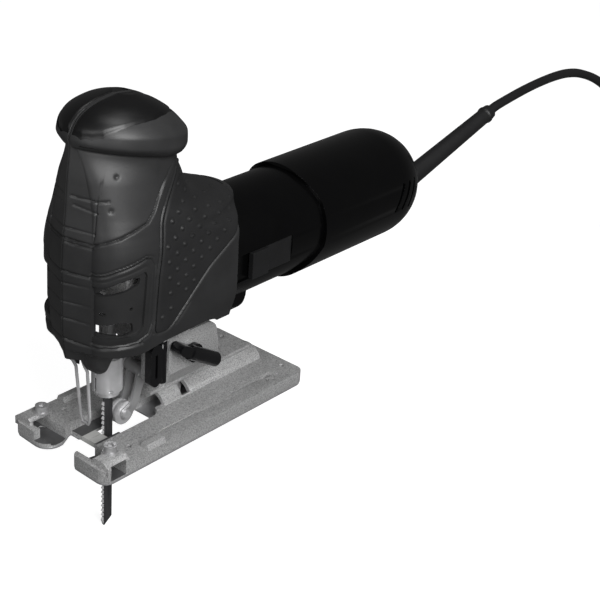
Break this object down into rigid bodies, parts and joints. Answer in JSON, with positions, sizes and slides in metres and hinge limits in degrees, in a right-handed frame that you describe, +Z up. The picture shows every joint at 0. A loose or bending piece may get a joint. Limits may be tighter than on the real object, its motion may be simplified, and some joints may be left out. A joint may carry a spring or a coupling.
{
  "type": "jigsaw",
  "caption": "Corded barrel-grip jigsaw with top knob, sliding side switch, toolless blade clamp, roller guide, orbital lever and a tilting slotted base.",
  "frame": {"origin": "centre of the sole's underside", "axes": "+X to the tool's left side, +Y to the rear where the cord leaves, +Z up; the blade cuts towards -Y"},
  "size_m": [0.117, 0.6955, 0.2547],
  "materials": {
    "head": "fine matte",
    "pad": "gloss",
    "grip": "matte, dotted",
    "vent": "satin",
    "cast": "speckled die cast",
    "barrel": "satin gloss",
    "cover": "gloss",
    "steel": "satin",
    "lamination": "matt",
    "copper": "enamelled copper",
    "ivory": "satin",
    "carbon": "matt carbon",
    "bronze": "sintered bronze",
    "chrome": "polished",
    "blade": "ground",
    "lever": "satin black",
    "base": "blasted die cast",
    "sole": "brushed",
    "cord": "satin rubber",
    "tie": "matt"
  },
  "bodies": {
    "housing": {"head_shell_left": "head", "head_shell_right": "head", "knob_pad_left": "pad", "knob_pad_right": "pad", "grip_panel_left": "grip", "grip_panel_right": "grip", "vent_frame_left": "vent", "vent_frame_right": "vent", "gear_housing": "cast", "bearing_plate": "cast", "motor_housing": "barrel", "rear_cover": "cover", "front_bearing": "steel", "rear_bearing": "steel", "field_core": "lamination", "field_windings": "copper", "brush_holders": "ivory", "carbon_brushes": "carbon", "gear_spindle": "steel", "plunger_bushes": "bronze", "arm_pin": "steel", "wire_guard": "chrome", "tilt_bracket": "cast", "tilt_bolt": "steel", "shell_screws": "steel", "switch_block": "lever", "noise_capacitor": "ivory", "cord_guard": "cord", "cord_clamp": "ivory", "clamp_screws": "steel", "power_cord": "cord", "cord_coil": "cord", "cord_tie": "tie", "plug": "cord", "plug_pins": "chrome"},
    "armature": {"armature_shaft": "steel", "armature_core": "lamination", "armature_windings": "copper", "commutator": "copper", "cooling_fan": "ivory"},
    "gear": {"spur_gear": "steel", "crank_bush": "steel"},
    "plunger": {"plunger": "steel", "blade_clamp": "chrome", "blade": "blade"},
    "guide_arm": {"retainer_arm": "steel", "roller_pin": "steel"},
    "guide_roller": {"roller": "steel"},
    "orbital_lever": {"orbital_lever": "lever"},
    "release_lever": {"release_lever": "lever"},
    "switch": {"switch_slider": "lever", "switch_link": "ivory"},
    "base": {"base_plate": "base", "sole_plate": "sole", "splinter_insert": "ivory", "fence_screws": "chrome"}
  },
  "joints": [
    {"name": "motor_spin", "type": "hinge", "parent": "housing", "child": "armature", "pos_m": [0, 0.0485, 0.0907], "axis": [0, 1, 0], "continuous": true},
    {"name": "gear_spin", "type": "hinge", "parent": "housing", "child": "gear", "pos_m": [0, -0.0175, 0.1159], "axis": [0, 1, 0], "continuous": true},
    {"name": "plunger_stroke", "type": "slide", "parent": "housing", "child": "plunger", "axis": [0, 0, 1], "range_m": [-0.004, 0.022]},
    {"name": "guide_arm_swing", "type": "hinge", "parent": "housing", "child": "guide_arm", "pos_m": [0, -0.0215, 0.034], "axis": [1, 0, 0], "range_deg": [0, 3]},
    {"name": "guide_roller_spin", "type": "hinge", "parent": "guide_arm", "child": "guide_roller", "pos_m": [0, -0.0331, 0.0114], "axis": [1, 0, 0], "continuous": true},
    {"name": "orbital_select", "type": "hinge", "parent": "housing", "child": "orbital_lever", "pos_m": [0.0265, -0.0015, 0.0456], "axis": [1, 0, 0], "range_deg": [-5, 30]},
    {"name": "blade_release", "type": "hinge", "parent": "housing", "child": "release_lever", "pos_m": [0.0241, -0.027, 0.047], "axis": [0, 0, 1], "range_deg": [0, 80], "stiffness_Nm_per_rad": 0.02},
    {"name": "switch_slide", "type": "slide", "parent": "housing", "child": "switch", "axis": [0, 1, 0], "range_m": [-0.008, 0]},
    {"name": "base_bevel", "type": "hinge", "parent": "housing", "child": "base", "pos_m": [0, 0, 0.0054], "axis": [0, 1, 0], "range_deg": [-45, 45]}
  ],
  "couplings": [
    {"joint": "gear_spin", "follows": "motor_spin", "ratio": -0.16667}
  ]
}
